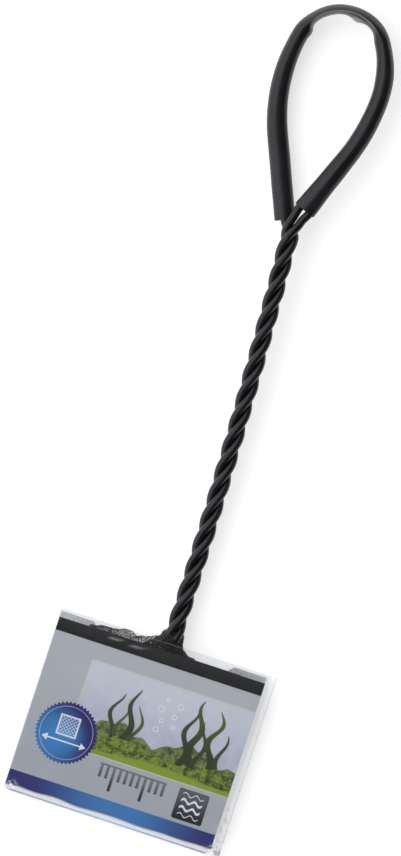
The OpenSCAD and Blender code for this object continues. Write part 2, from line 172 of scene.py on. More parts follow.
def along_route(s, table, start):
    """Places, and headings in radians, at lengths s on a run of tangent arcs.

    The table has each arc's length and its turn to the right in degrees.
    """
    lengths, turns = np.array(table).T
    turns = np.radians(turns)
    places = [start]
    for length, turn in zip(lengths, turns):
        places.append(arc_end(*places[-1], length, turn))
    begins = np.concatenate([[0], np.cumsum(lengths)[:-1]])
    k = np.clip(np.searchsorted(begins, s, side="right") - 1, 0, len(table) - 1)
    d = s - begins[k]
    return arc_end(*np.moveaxis(np.array(places)[k], -1, 0), d, turns[k] * d / lengths[k])


def arc(radius, turn):
    """The length and the turn of an arc."""
    return radius * np.radians(abs(turn)), turn


# The handle, its bend, the first leg, the rise, the shoulder, the top, and the fall with the last
# leg, which run to the sleeve's cut end
HANDLE_ROUTE = (
    (171.5, -3.7),
    (10.0, 24.6),
    (29.2, 0.0),
    arc(83.0, -18.3),
    arc(41.0, -32.5),
    arc(17.7, -136.3),
    arc(67.0, -36.8701),
    (34.5291, 0.0),
)
TOTAL_S = sum(row[0] for row in HANDLE_ROUTE)


def pair_at(s):
    """The middle of the pair of wires that the frame holds at the neck and the sleeve at its mouth.

    It climbs to the mouth and comes down round the crook, by smooth steps.
    """
    x, y, h = along_route(s, HANDLE_ROUTE, (0.0, NECK_R, 0.0))
    up = FRAME_Z + (HANDLE_TOP_Z - FRAME_Z) * smooth(s / MOUTH_S)
    down = HANDLE_TOP_Z + (CROOK_END_Z - HANDLE_TOP_Z) * smooth((s - MOUTH_S) / (TOTAL_S - MOUTH_S))
    return np.stack([x, y, np.where(s < MOUTH_S, up, down)], -1), h


def wire_at(s, side):
    """A strand's middle line, and its direction out from the middle of the three.

    That direction is at side minus the twist, whose rate climbs over the ease, holds, and falls
    over the ease. The middle lies half the lay's radius above the pair at the neck and half below
    it at the mouth, where the strands are splayed sideways. Round the crook one wire is left, in
    the middle of the sleeve.
    """
    rate = TOTAL_TWIST / (TWIST_LEN - TWIST_EASE)

    def eased(x):
        return np.where(x < TWIST_EASE, x * x / (2 * TWIST_EASE), x - TWIST_EASE / 2)

    late = TOTAL_TWIST - rate * eased(np.maximum(0, TWIST_LEN - s))
    a = np.radians(side - np.where(s < TWIST_LEN / 2, rate * eased(s), late))
    middle, h = pair_at(s)
    middle[..., 2] += LAY_R / 2 * (1 - 2 * smooth(s / MOUTH_S))
    out = np.stack([np.cos(a) * np.cos(h), -np.cos(a) * np.sin(h), np.sin(a)], -1)
    splay = 1 + (MOUTH_GAP - STRAND_GAP) / (2 * STRAND_R) * bump(s - MOUTH_S, MOUTH_SETBACK)
    splay = splay * (1 - smooth((s - RIGHT_END_S) / SETTLE_LEN))
    spread = out * LAY_R
    spread[..., :2] *= splay[:, None]
    return middle + spread, out


def strand_line(s, side):
    """A strand's middle line with its direction of travel and its outward direction."""
    place, out = wire_at(s, side)
    run = unit(wire_at(s + 0.01, side)[0] - wire_at(np.maximum(s - 0.01, 0), side)[0])
    run[s == 0] = (0, 1, 0)
    return place, run, out


def exit_line(t):
    """The left strand's way from under the twist into the sleeve's cut end, for t from 0 to 1.

    It is a cubic that leaves one place and enters the other in the wires' own directions, with
    3 t^2 - 2 t^3 between the places, t (1 - t)^2 on the first pull and -t^2 (1 - t) on the second.
    """
    leave, leave_run, leave_out = strand_line(np.array([LEAVE_S]), LEFT)
    enter, enter_run, enter_out = strand_line(np.array([TOTAL_S]), TAIL)
    across = enter - leave
    pull = np.linalg.norm(across) * LEAVE_PULL * leave_run
    push = -np.linalg.norm(across) * ENTER_PULL * enter_run
    t = t[:, None]
    place = leave + smooth(t) * across + t * (1 - t) ** 2 * pull - t * t * (1 - t) * push
    run = 6 * t * (1 - t) * across + (1 - t) * (1 - 3 * t) * pull + t * (3 * t - 2) * push
    return place, unit(run), (1 - t) * leave_out + t * enter_out


# ---- Meshes ----


def add_object(name, data):
    """A new object in the scene."""
    item = bpy.data.objects.new(name, data)
    bpy.context.scene.collection.objects.link(item)
    return item


def add_piece(name, points, faces, loop_uv=None, sharp=35):
    """A mesh object from points in millimetres, with smooth shading up to an angle."""
    mesh = bpy.data.meshes.new(name)
    mesh.from_pydata(placed(points).tolist(), [], faces.tolist())
    if loop_uv is not None:
        mesh.uv_layers.new(name="run").data.foreach_set("uv", loop_uv.ravel())
    mesh.polygons.foreach_set("use_smooth", np.ones(len(faces), bool))
    mesh.update()
    mesh.set_sharp_from_angle(angle=np.radians(sharp))
    return add_object(name, mesh)


def squares(grid):
    """The four corners of each square of a grid of numbers or places, in the order round it."""
    corners = [grid[:-1, :-1], grid[:-1, 1:], grid[1:, 1:], grid[1:, :-1]]
    return np.stack(corners, 2).reshape(-1, 4, *grid.shape[2:])


def ring_faces(rows, columns, closed):
    """The squares between rows of points that are rings. The last row may join the first."""
    index = np.arange(rows * columns).reshape(rows, columns)
    index = np.pad(index, ((0, int(closed)), (0, 1)), "wrap")
    return squares(index)


def tube(name, outer, bore, length, sharp=35):
    """A tube with a wall, as one closed grid: the outer rings, then the bore's rings back.

    U goes round it and V is the length along it in metres.
    """
    rings = np.concatenate([outer, bore[::-1]])
    faces = ring_faces(*rings.shape[:2], True)
    along = np.concatenate([length, length[::-1], length[:1]])[:, None] / 1000
    around = np.linspace(0, 1, rings.shape[1] + 1)
    uv = np.stack(np.broadcast_arrays(around, along), -1)
    return add_piece(name, rings.reshape(-1, 3), faces[:, ::-1], squares(uv)[:, ::-1], sharp)


def slab(name, outer, inner, uv):
    """A sheet with a thickness: an outer grid, an inner one, and a strip all round the edge.

    The outer faces come first, then the inner ones, then the strip.
    """
    rows, columns = outer.shape[:2]
    count = rows * columns
    index = np.arange(count).reshape(rows, columns)
    edge = np.concatenate([index[0, :-1], index[:-1, -1], index[-1, :0:-1], index[:0:-1, 0]])
    after = np.roll(edge, -1)
    front = squares(index)
    rim = np.stack([after, edge, edge + count, after + count], -1)
    faces = np.concatenate([front, front[:, ::-1] + count, rim])
    points = np.concatenate([outer.reshape(-1, 3), inner.reshape(-1, 3)])
    return add_piece(name, points, faces, uv.reshape(-1, 2)[faces % count])


def circles(a, u, v):
    """cos(a) u + sin(a) v, at all the angles for each pair of directions."""
    return np.cos(a)[:, None] * u[:, None] + np.sin(a)[:, None] * v[:, None]


def threads(name, begin, end, facing, radius, sides=3):
    """Straight threads from begin to end, each a prism with its sides round the direction.

    A corner is the end's place plus the radius times cos(a) facing plus sin(a) across.
    """
    run = unit(end - begin)
    across = unit(np.cross(run, facing))
    k = np.arange(sides)
    ring = radius * circles(k * 2 * np.pi / sides, np.cross(across, run), across)
    points = np.stack([begin[:, None] + ring, end[:, None] + ring], 1)
    first = np.arange(len(begin))[:, None] * 2 * sides
    after = (k + 1) % sides
    faces = np.stack([first + k, first + sides + k, first + sides + after, first + after], -1)
    return add_piece(name, points.reshape(-1, 3), faces.reshape(-1, 4), sharp=180)


# ---- Node trees ----


def feed(value, socket):
    """Joins a field or a socket to a socket, or sets the socket to a plain value."""
    if isinstance(value, Field):
        value = value.socket
    if isinstance(value, bpy.types.NodeSocket):
        socket.id_data.links.new(value, socket)
    else:
        socket.default_value = value


def add_node(tree, kind, *values, **named):
    """A new shader node, with its first inputs fed in their order and others by their names."""
    node = tree.nodes.new("ShaderNode" + kind)
    for socket, value in zip(node.inputs, values):
        feed(value, socket)
    for name, value in named.items():
        feed(value, node.inputs[name])
    return node


def operation(name):
    """A method that adds a Math node of this kind to the field's tree."""

    def method(self, *others):
        node = add_node(self.tree, "Math", self, *others)
        node.operation = name
        return Field(node.outputs[0])

    return method


class Field:
    """A value that changes over a surface. Arithmetic with it adds nodes to its tree."""

    def __init__(self, socket):
        self.tree, self.socket = socket.id_data, socket

    __add__ = __radd__ = operation("ADD")
    __sub__ = operation("SUBTRACT")
    __mul__ = __rmul__ = operation("MULTIPLY")
    __truediv__ = operation("DIVIDE")
    __pow__ = operation("POWER")
    __abs__ = operation("ABSOLUTE")
    most = operation("MAXIMUM")
    least = operation("MINIMUM")
    fraction = operation("FRACT")
    root = operation("SQRT")
    sine = operation("SINE")
    angle = operation("ARCTAN2")

    def ramp(self, low, high):
        """0 at low and 1 at high, with smooth ends."""
        node = add_node(self.tree, "MapRange", self, low, high)
        node.interpolation_type = "SMOOTHSTEP"
        return Field(node.outputs[0])

    def below(self, limit, soft):
        """1 below the limit and 0 above it, over a soft edge."""
        return self.ramp(limit + soft / 2, limit - soft / 2)

    def blend(self, first, second):
        """The first colour where the field is 0 and the second where it is 1."""
        node = add_node(self.tree, "Mix")
        node.data_type = "RGBA"
        for k, value in ((0, self), (6, first), (7, second)):
            feed(linear(value) if isinstance(value, str) else value, node.inputs[k])
        return node.outputs[2]


def linear(code):
    """A colour as the shaders take it, from a hex code."""
    c = np.array([int(code[i : i + 2], 16) / 255 for i in (1, 3, 5)])
    return (*np.where(c <= 0.04045, c / 12.92, ((c + 0.055) / 1.055) ** 2.4), 1.0)


def wave(value, length, phase=0.0):
    """The sine of a field, whose waves are this long."""
    return (value * (2 * np.pi / length) + phase).sine()


def noise(tree, scale, vector=None, detail=2.0, stretch=None):
    """A noise field over Object coordinates in metres, or over a vector."""
    if vector is None:
        vector = add_node(tree, "TexCoord").outputs["Object"]
    if stretch is not None:
        vector = add_node(tree, "Mapping", Vector=vector, Scale=stretch).outputs[0]
    node = add_node(tree, "TexNoise", Vector=vector, Scale=scale, Detail=detail)
    return Field(node.outputs[0])


def stored(tree, name):
    """The number that the piece stores under this name at each of its points."""
    node = add_node(tree, "Attribute")
    node.attribute_name = name
    return Field(node.outputs["Fac"])


def run_coordinates(tree):
    """The two fields of the piece's own UV map."""
    node = add_node(tree, "UVMap")
    node.uv_map = "run"
    split = add_node(tree, "SeparateXYZ", Vector=node.outputs[0])
    return Field(split.outputs[0]), Field(split.outputs[1])


def new_material(name, **values):
    """A material with one Principled shader, whose plain values are set on its own sockets."""
    material = bpy.data.materials.new(name)
    material.use_nodes = True
    shader = material.node_tree.nodes["Principled BSDF"]
    for socket, value in values.items():
        feed(value, shader.inputs[socket.replace("_", " ")])
    return material, material.node_tree


def cover(material, colour, roughness, height, distance, strength):
    """Feeds a material its colour, roughness and bump, whose height is in shares of a distance."""
    tree = material.node_tree
    relief = add_node(tree, "Bump", Strength=strength, Distance=distance, Height=height)
    values = (colour, roughness, relief.outputs[0])
    for name, value in zip(("Base Color", "Roughness", "Normal"), values):
        feed(value, tree.nodes["Principled BSDF"].inputs[name])
    return material


def make_surface_grain():
    """The grain group: fine bumps and broad cloudy patches, from Object coordinates."""
    group = bpy.data.node_groups.new("surface_grain", "ShaderNodeTree")
    for way, names in (("INPUT", ("Fine Scale", "Cloud Scale")), ("OUTPUT", ("Height", "Cloud"))):
        for name in names:
            group.interface.new_socket(name, in_out=way, socket_type="NodeSocketFloat")
    given = group.nodes.new("NodeGroupInput")
    result = group.nodes.new("NodeGroupOutput")
    feed(noise(group, given.outputs[0], detail=3.0), result.inputs[0])
    feed(noise(group, given.outputs[1], detail=4.0).ramp(0.3, 0.7), result.inputs[1])
    return group


SURFACE_GRAIN = make_surface_grain()


def grain(tree, fine, cloud):
    """The grain group's height and cloud fields at these scales."""
    node = add_node(tree, "Group")
    node.node_tree = SURFACE_GRAIN
    for value, socket in zip((fine, cloud), node.inputs):
        feed(value, socket)
    return Field(node.outputs[0]), Field(node.outputs[1])


# ---- Camera, floor and lights ----

VIEW_X, VIEW_Y = -15.5, 91.4
VIEW_HEIGHT = 342.4
VIEW_DISTANCE = 3000.0
VIEW_UP = (-0.3107, 0.9505)
FLOOR_HALF = 4.0
FLOOR_Z = -0.0001
WHITE, BLACK = (1.0, 1.0, 1.0, 1.0), (0.0, 0.0, 0.0, 1.0)


def add_camera():
    """A long lens straight above, turned so that the net leans as in the photograph."""
    data = bpy.data.cameras.new("camera")
    data.sensor_fit = "VERTICAL"
    data.sensor_height = 24.0
    data.lens = data.sensor_height * (VIEW_DISTANCE - FRAME_Z * 2) / VIEW_HEIGHT
    data.clip_end = 20.0
    camera = add_object("camera", data)
    camera.location = placed((VIEW_X, VIEW_Y, VIEW_DISTANCE))
    camera.rotation_euler = (0, 0, np.arctan2(-VIEW_UP[0], VIEW_UP[1]))
    bpy.context.scene.camera = camera


def add_lamp(name, place, aim, size, watts, colour):
    """A soft box at a place in metres, turned towards an aim. Shiny surfaces don't mirror it."""
    data = bpy.data.lights.new(name, "AREA")
    data.shape = "RECTANGLE"
    data.size, data.size_y = size
    data.energy = watts
    data.color = colour
    lamp = add_object(name, data)
    lamp.visible_glossy = False
    lamp.location = place
    lamp.rotation_euler = (Vector(aim) - Vector(place)).to_track_quat("-Z", "Y").to_euler()


def sees_plainly(tree):
    """1 for the camera's rays and for those by gloss or through film, and 0 for light on things."""
    path = add_node(tree, "LightPath")
    kinds = ("Is Camera Ray", "Is Glossy Ray", "Is Transmission Ray")
    camera, glossy, through = (Field(path.outputs[kind]) for kind in kinds)
    return camera.most(glossy).most(through)


def add_floor():
    """A white floor just under the part. The camera sees it a little brighter than its light."""
    mesh = bpy.data.meshes.new("floor")
    h, z = FLOOR_HALF, FLOOR_Z
    mesh.from_pydata([(-h, -h, z), (h, -h, z), (h, h, z), (-h, h, z)], [], [(0, 1, 2, 3)])
    floor = add_object("floor", mesh)
    material, tree = new_material(
        "white_floor", Roughness=0.9, Specular_IOR_Level=0.0, Emission_Strength=0.66
    )
    shader = tree.nodes["Principled BSDF"]
    feed(noise(tree, 3.0).blend("#c2c2c3", "#c5c5c5"), shader.inputs["Base Color"])
    feed(sees_plainly(tree).blend(BLACK, WHITE), shader.inputs["Emission Color"])
    mesh.materials.append(material)


def add_world():
    """A studio lit by one large panel, from the left horizon almost to overhead.

    Its level towards (x, y, z) climbs from 0 to 1 as -0.975 x + 0.223 y goes from 0.08 to 0.24,
    times 0.7 + 0.3 |z|. The rest is dark. The camera itself sees plain white beyond the floor.
    """
    world = bpy.data.worlds.new("studio")
    bpy.context.scene.world = world
    world.use_nodes = True
    tree = world.node_tree
    split = add_node(tree, "SeparateXYZ", Vector=add_node(tree, "TexCoord").outputs["Generated"])
    x, y, z = (Field(socket) for socket in split.outputs)
    level = (x * -0.975 + y * 0.223).ramp(0.08, 0.24) * (abs(z) * 0.3 + 0.7)
    colour = level.blend((0.1, 0.1, 0.1, 1), (1.42, 1.43, 1.46, 1))
    camera = Field(add_node(tree, "LightPath").outputs["Is Camera Ray"])
    feed(camera.blend(colour, WHITE), tree.nodes["Background"].inputs["Color"])


add_camera()
add_floor()
add_world()
add_lamp("left_box", (-1.45, 0.45, 1.15), (0, 0, 0), (2.0, 1.6), 13.5, (0.98, 0.99, 1.0))
add_lamp("low_front_box", (-0.25, -1.2, 0.5), (0, -0.1, 0), (2.2, 1.1), 13.0, (0.98, 0.98, 1.0))


# ---- Materials ----


def make_wire_vinyl():
    """Glossy black vinyl, a little worn and dusty in patches."""
    material, tree = new_material("wire_vinyl")
    height, cloud = grain(tree, 2600.0, 90.0)
    return cover(material, cloud.blend("#0f1013", "#17181b"), cloud * 0.14 + 0.24, height, 0.00002, 0.5)


def make_strand_vinyl():
    """The same vinyl on the twisted strands, with draw lines along each wire from its UV map."""
    material, tree = new_material("strand_vinyl")
    height, cloud = grain(tree, 2600.0, 90.0)
    round_it, run = run_coordinates(tree)
    join = add_node(tree, "CombineXYZ", X=round_it * 9.0, Y=run * 14.0)
    lines = noise(tree, 3.0, join.outputs[0], 3.0)
    colour = cloud.blend("#0b0c10", "#15161b")
    return cover(material, colour, cloud * 0.1 + lines * 0.14 + 0.18, height * 0.3 + lines, 0.0001, 0.6)


def make_sleeve_vinyl():
    """Softer black vinyl hose, paler grey where the sleeve stores it: at the edges of its buckles,
    along its inner rim, and in a painted highlight along a thin line on top of its fold.
    """
    material, tree = new_material("sleeve_vinyl")
    height, cloud = grain(tree, 1800.0, 70.0)
    # The stored pinch value mixes in a pale grey: the buckles' edges, the inner rim, and a painted
    # highlight on top of the fold.
    colour = stored(tree, "pinch").blend(cloud.blend("#0e0f12", "#17181c"), "#858482")
    return cover(material, colour, cloud * 0.1 + 0.32, height, 0.00003, 0.6)


def make_steel():
    """Drawn steel wire, with fine scratches along it."""
    material, tree = new_material("wire_steel", Metallic=1.0)
    scratches = noise(tree, 900.0, detail=4.0, stretch=(1.0, 0.08, 1.0))
    colour = scratches.blend("#8d9094", "#b6b8bb")
    return cover(material, colour, scratches * 0.25 + 0.22, scratches, 0.00001, 0.5)


def make_hem_cloth():
    """Black woven tape: two sets of threads that pass over and under each other."""
    material, tree = new_material("hem_cloth", Sheen_Weight=0.25, Sheen_Roughness=0.5)
    round_it, run = run_coordinates(tree)
    weave = (wave(round_it, 1 / 26) * wave(run, 0.0009)) * 0.5 + 0.5
    _, cloud = grain(tree, 2200.0, 120.0)
    colour = (weave * 0.6 + cloud * 0.4).blend("#0f1012", "#25262a")
    return cover(material, colour, weave * 0.15 + 0.6, weave, 0.00012, 0.8)


def make_net_thread():
    """Black nylon filament, with a soft shine that changes from thread to thread."""
    material, tree = new_material("netting", Sheen_Weight=0.1)
    height, cloud = grain(tree, 4000.0, 400.0)
    return cover(material, cloud.blend("#0c0d0f", "#1e1f23"), cloud * 0.2 + 0.4, height, 0.00002, 0.5)


def make_sewing_thread():
    """Twisted black sewing thread, with its plies slanting round it."""
    material, tree = new_material("sewing_thread", Sheen_Weight=0.2)
    round_it, run = run_coordinates(tree)
    plies = wave(round_it + run / 0.0012, 0.5) * 0.5 + 0.5
    return cover(material, plies.blend("#1a1b1e", "#3b3c40"), plies * 0.2 + 0.5, plies, 0.00008, 0.8)


# The print's layout in mm: across from the card's left edge, and down from its front edge
PICTURE_LEFT, PICTURE_TOP, PICTURE_BOTTOM, PICTURE_CORNER = 18.0, 12.4, 48.0, 4.0
BADGE_X, BADGE_T, BADGE_R, BADGE_TEETH = 17.0, 43.5, 12.3, 48.0
RULER_LEFT, RULER_RIGHT, RULER_T, RULER_STEP = 33.9, 61.9, 50.6, 2.6
SQUARE_X, SQUARE_T, SQUARE_HALF = 73.4, 56.2, 5.4
FRONT_BLACK, BACK_BLACK = 5.4, 146.0
BAND_START, BAND_END, BAND_MIDDLE = 63.9, 88.0, 46.0
# Reeds: where each stands, its tip, how far it sways, and its width. Bubbles: place and radius
REEDS = (
    (33.0, 21.0, 1.9, 0.75), (36.5, 26.0, -1.6, 0.7), (39.5, 17.5, 1.4, 0.85),
    (43.0, 24.0, 1.8, 0.7), (63.5, 18.5, -1.7, 0.85), (66.8, 14.0, 1.5, 0.95),
    (70.0, 22.0, -1.5, 0.7), (74.0, 16.0, 2.0, 0.9), (78.5, 24.5, -1.3, 0.75),
)
BUBBLES = (
    (50.5, 31.0, 1.0), (51.6, 27.0, 0.75), (50.2, 22.6, 1.2), (51.8, 18.4, 0.65),
    (57.0, 28.4, 0.7), (56.2, 24.2, 0.9), (57.4, 19.6, 1.15),
)


def window(value, low, high, soft=0.15):
    """1 between low and high and 0 outside them, over soft edges."""
    return value.ramp(low - soft / 2, low + soft / 2) * value.below(high, soft)


def length_of(a, b):
    """sqrt(a^2 + b^2)."""
    return (a * a + b * b).root()


def picture_colours(x, t, broad):
    """The picture: water, far weed, reeds, near weed, a plain green strip, and bubbles."""
    mottled = noise(x.tree, 330.0, detail=5.0)
    specks = noise(x.tree, 1100.0, detail=3.0)
    water = t.ramp(14.0, 40.0).blend("#cdd1dc", "#b3b9ca")
    picture = ((broad * 0.5 + mottled * 0.5).ramp(0.35, 0.7) * 0.35).blend(water, "#dfe3ee")
    far = t + wave(x, 31.0, 0.6) * 2.6 + wave(x, 9.0) * 0.8 + mottled * 2.4
    weed = (mottled * 0.6 + specks * 0.4).ramp(0.38, 0.62).blend("#3f4a2a", "#7f8f52")
    picture = far.ramp(36.6, 37.2).blend(picture, weed)
    for k, (at, top, lean, wide) in enumerate(REEDS):
        width = (t - top).most(0.0) ** 0.55 * (wide * 0.34)
        blade = abs(x - at - wave(t, 17.0, 0.9 * k) * lean) - width
        colour = ((t - top) * 0.05).blend("#5d6a2f" if k % 2 else "#4a4a30", "#2f3a20")
        picture = (blade.below(0.0, 0.2) * t.ramp(top, top + 0.2)).blend(picture, colour)
    near = t + wave(x, 43.0, 2.0) * 1.6 + wave(x, 6.0, 1.0) * 0.5 + mottled * 3.2
    bed = (mottled * 0.55 + specks * 0.45).ramp(0.38, 0.62).blend("#34421b", "#87a03c")
    bed = ((mottled * 0.7 + broad * 0.3).ramp(0.55, 0.66) * 0.8).blend(bed, "#4b3c26")
    picture = near.ramp(41.8, 42.4).blend(picture, bed)
    strip = t + wave(x, 52.0, 1.0) * 0.8
    picture = strip.ramp(45.2, 45.6).blend(picture, "#87a033")
    for at, up, size in BUBBLES:
        rim = abs(length_of(x - at, t - up) - size)
        picture = (rim.below(0.18, 0.15) * 0.85).blend(picture, "#eef1f8")
    return picture


def with_badge(colour, x, t):
    """A toothed disc, from navy to bright blue, with a square of net and a double arrow."""
    x, t = x - BADGE_X, t - BADGE_T
    across, down = abs(x), abs(t - 3.6)
    reach = length_of(x, t)
    teeth = (t.angle(x) * BADGE_TEETH).sine() * 0.38
    blue = (reach + x * 0.5 - t * 0.3).ramp(1.0, 15.0).blend("#3b86c8", "#20226a")
    colour = (reach + teeth).below(BADGE_R, 0.12).blend(colour, blue)
    shaft = down.below(0.28, 0.1) * across.below(7.6, 0.1)
    heads = (across + down * 1.6).below(9.2, 0.12) * across.ramp(6.8, 6.9)
    ring = abs(reach - 10.7).below(0.12, 0.1) * 0.5
    box = across.most(abs(t + 2.8))
    hoop = abs(box - 3.9).below(0.3, 0.12)
    rise, fall = ((slope / 1.5).fraction().below(0.2, 0.1) for slope in (x + t, x - t))
    mesh = rise.most(fall) * box.below(3.9, 0.1) * 0.8
    return shaft.most(heads).most(ring).most(hoop).most(mesh).blend(colour, "#e9edf6")


def with_ruler(colour, x, t):
    """Dark bars that hang from a line and darken downwards, every fifth one longer."""
    end = (x / (5 * RULER_STEP)).fraction().below(0.2, 0.01) * 4.6 + (RULER_T + 5.4)
    bars = window((x / RULER_STEP).fraction(), 0.16, 0.62, 0.04) * window(t, RULER_T, end)
    bars = bars * window(x, RULER_LEFT, RULER_RIGHT)
    line = window(t, RULER_T - 0.4, RULER_T + 0.4) * window(x, RULER_LEFT, RULER_RIGHT - 0.2)
    return bars.most(line).blend(colour, t.ramp(50.0, 60.0).blend("#77797e", "#222327"))


def with_wave_square(colour, x, t):
    """A dark square with round corners and white waves."""
    x, t = x - SQUARE_X, t - SQUARE_T
    square = length_of((abs(x) - SQUARE_HALF).most(0.0), (abs(t) - SQUARE_HALF).most(0.0))
    colour = square.below(0.9, 0.12).blend(colour, t.ramp(-6.0, 6.0).blend("#5d6066", "#17181b"))
    swell = t + wave(x, 4.4) * 0.7
    waves = abs((swell / 3.0).fraction() - 0.5).below(0.17, 0.04)
    return (waves * window(x, -4.4, 4.4) * window(swell, -4.4, 4.4)).blend(colour, "#e8eaee")


def print_colours(x, t):
    """The printed colours at x from the card's left edge and t from its front edge, in mm.

    Grey ground, a picture of reeds that runs out to the right, a badge, a ruler, a square with
    waves, black along the front and back edges, and the blue band on the fold.
    """
    broad = noise(x.tree, 90.0)
    pale, dark = broad.blend("#b6babf", "#bdc0c5"), broad.blend("#a7acb3", "#afb3b9")
    ground = t.ramp(0.0, 70.0).blend(pale, dark)
    side = (x - PICTURE_LEFT).least((t * -1.0) + PICTURE_BOTTOM)
    corner = length_of(
        (x * -1.0 + (PICTURE_LEFT + PICTURE_CORNER)).most(0.0),
        (t - (PICTURE_BOTTOM - PICTURE_CORNER)).most(0.0),
    )
    inset = side.least((corner * -1.0) + PICTURE_CORNER).least(t - PICTURE_TOP)
    colour = inset.ramp(-0.45, -0.3).blend(ground, "#c9d6a8")
    colour = inset.ramp(-0.1, 0.05).blend(colour, picture_colours(x, t, broad))
    for add_print in (with_badge, with_ruler, with_wave_square):
        colour = add_print(colour, x, t)
    colour = t.below(FRONT_BLACK, 0.12).blend(colour, "#0e0f11")
    colour = t.ramp(BACK_BLACK, BACK_BLACK + 0.1).blend(colour, "#0e0f11")
    band = abs(x - BAND_MIDDLE).ramp(4.0, 40.0).blend("#3f7ab8", "#2c2c72")
    return window(t, BAND_START, BAND_END, 0.12).blend(colour, band)


def make_card_print():
    """Coated card, printed on its outer face, whose board has a very fine tooth."""
    material, tree = new_material("card_print", Coat_Weight=0.25, Coat_Roughness=0.12)
    u, v = run_coordinates(tree)
    height, cloud = grain(tree, 1500.0, 45.0)
    colour = print_colours(u * 1000.0, v * 1000.0)
    return cover(material, colour, cloud * 0.1 + 0.38, height, 0.00002, 0.4)


def make_card_board():
    """The bare grey board inside the card and along its cut edges, with short fibres in it."""
    material, tree = new_material("card_board")
    fibres = noise(tree, 1300.0, detail=5.0, stretch=(1.0, 0.35, 1.0))
    colour = fibres.ramp(0.35, 0.7).blend("#ced0d3", "#dfe0e1")
    return cover(material, colour, fibres * 0.1 + 0.75, fibres, 0.00004, 0.6)


def make_film():
    """Clear film, milky at its welds and creases and white in painted highlights, which mirrors 0.04 +
    0.55 facing^4 of the light.
    """
    material, tree = new_material("clear_film", Metallic=1.0)
    gloss = tree.nodes["Principled BSDF"]
    height, cloud = grain(tree, 320.0, 30.0)
    cover(material, WHITE, cloud * 0.06 + 0.05, height, 0.00006, 0.25)
    facing = Field(add_node(tree, "LayerWeight", 0.5).outputs["Facing"])
    mirror = facing**4 * 0.55 + 0.04
    clear = add_node(tree, "BsdfTransparent", (0.985, 0.988, 0.992, 1))
    shine = add_node(tree, "MixShader", mirror, clear.outputs[0], gloss.outputs[0])
    # A white diffuse layer, for the milky places and for the painted highlights that the bag stores.
    pale_and_highlight_shader = add_node(tree, "BsdfDiffuse", (0.92, 0.93, 0.95, 1))
    share = stored(tree, "pale_and_highlight") * 0.3
    both = add_node(tree, "MixShader", share, shine.outputs[0], pale_and_highlight_shader.outputs[0])
    feed(both.outputs[0], tree.nodes["Material Output"].inputs["Surface"])
    return material


def finish_piece(piece, body, slot, *materials):
    """Gives a piece its materials and its body. The slot is not used."""
    for material in materials:
        piece.data.materials.append(material)
    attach(piece, body)
    return piece


def set_values(piece, name, values):
    """Stores a number for each point of a piece."""
    attribute = piece.data.attributes.new(name, "FLOAT", "POINT")
    attribute.data.foreach_set("value", np.asarray(values, np.float32).ravel())


# ---- Wires and sleeve ----


def wire_rings(place, run, out, radius, sides=20):
    """Rings square to a wire: its place + r (cos a u + sin a v), where u points outward."""
    u = unit(out - (out * run).sum(-1, keepdims=True) * run)
    a = (np.arange(sides) + 0.5) * 2 * np.pi / sides
    return place[:, None] + radius * circles(a, u, np.cross(run, u))


def make_strands():
    """The three coated strands of the handle. The left one turns off into the sleeve's cut end."""
    vinyl = make_strand_vinyl()
    twisted = strand_line(np.linspace(0, LEAVE_S, 360), LEFT)
    leaving = exit_line(np.linspace(0, 1, 37)[1:])
    lines = {
        "left_strand": [np.concatenate(pair) for pair in zip(twisted, leaving)],
        "right_strand": strand_line(np.linspace(0, CROOK_S, 400), RIGHT),
        "tail_strand": strand_line(np.linspace(TAIL_S, CROOK_S, 390), TAIL),
    }
    for name, line in lines.items():
        steps = np.linalg.norm(np.diff(line[0], axis=0), axis=1)
        length = np.concatenate([[0], np.cumsum(steps)])
        piece = tube(name, wire_rings(*line, WIRE_R), wire_rings(*line, BORE_R), length)
        finish_piece(piece, "net", "wire_vinyl", vinyl)
        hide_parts(name + "_coat")


def between_marks(s, marks):
    """A value by smooth steps from each mark, a length and a value, to the next."""
    at, value = np.array(marks).T
    k = np.clip(np.searchsorted(at, s) - 1, 0, len(at) - 2)
    return value[k] + (value[k + 1] - value[k]) * smooth((s - at[k]) / (at[k + 1] - at[k]))


# Where the sleeve buckles inside its bend: the length, how far it stands out, and its reach
BUCKLES = ((276.3, 1.45, 3.4), (300.0, 0.9, 2.6))
# The lengths between which its fold has a painted highlight along a thin line on top, and a pale inner
# rim
TOP_HIGHLIGHT, PALE_RIM = (264, 300), (281, 303)


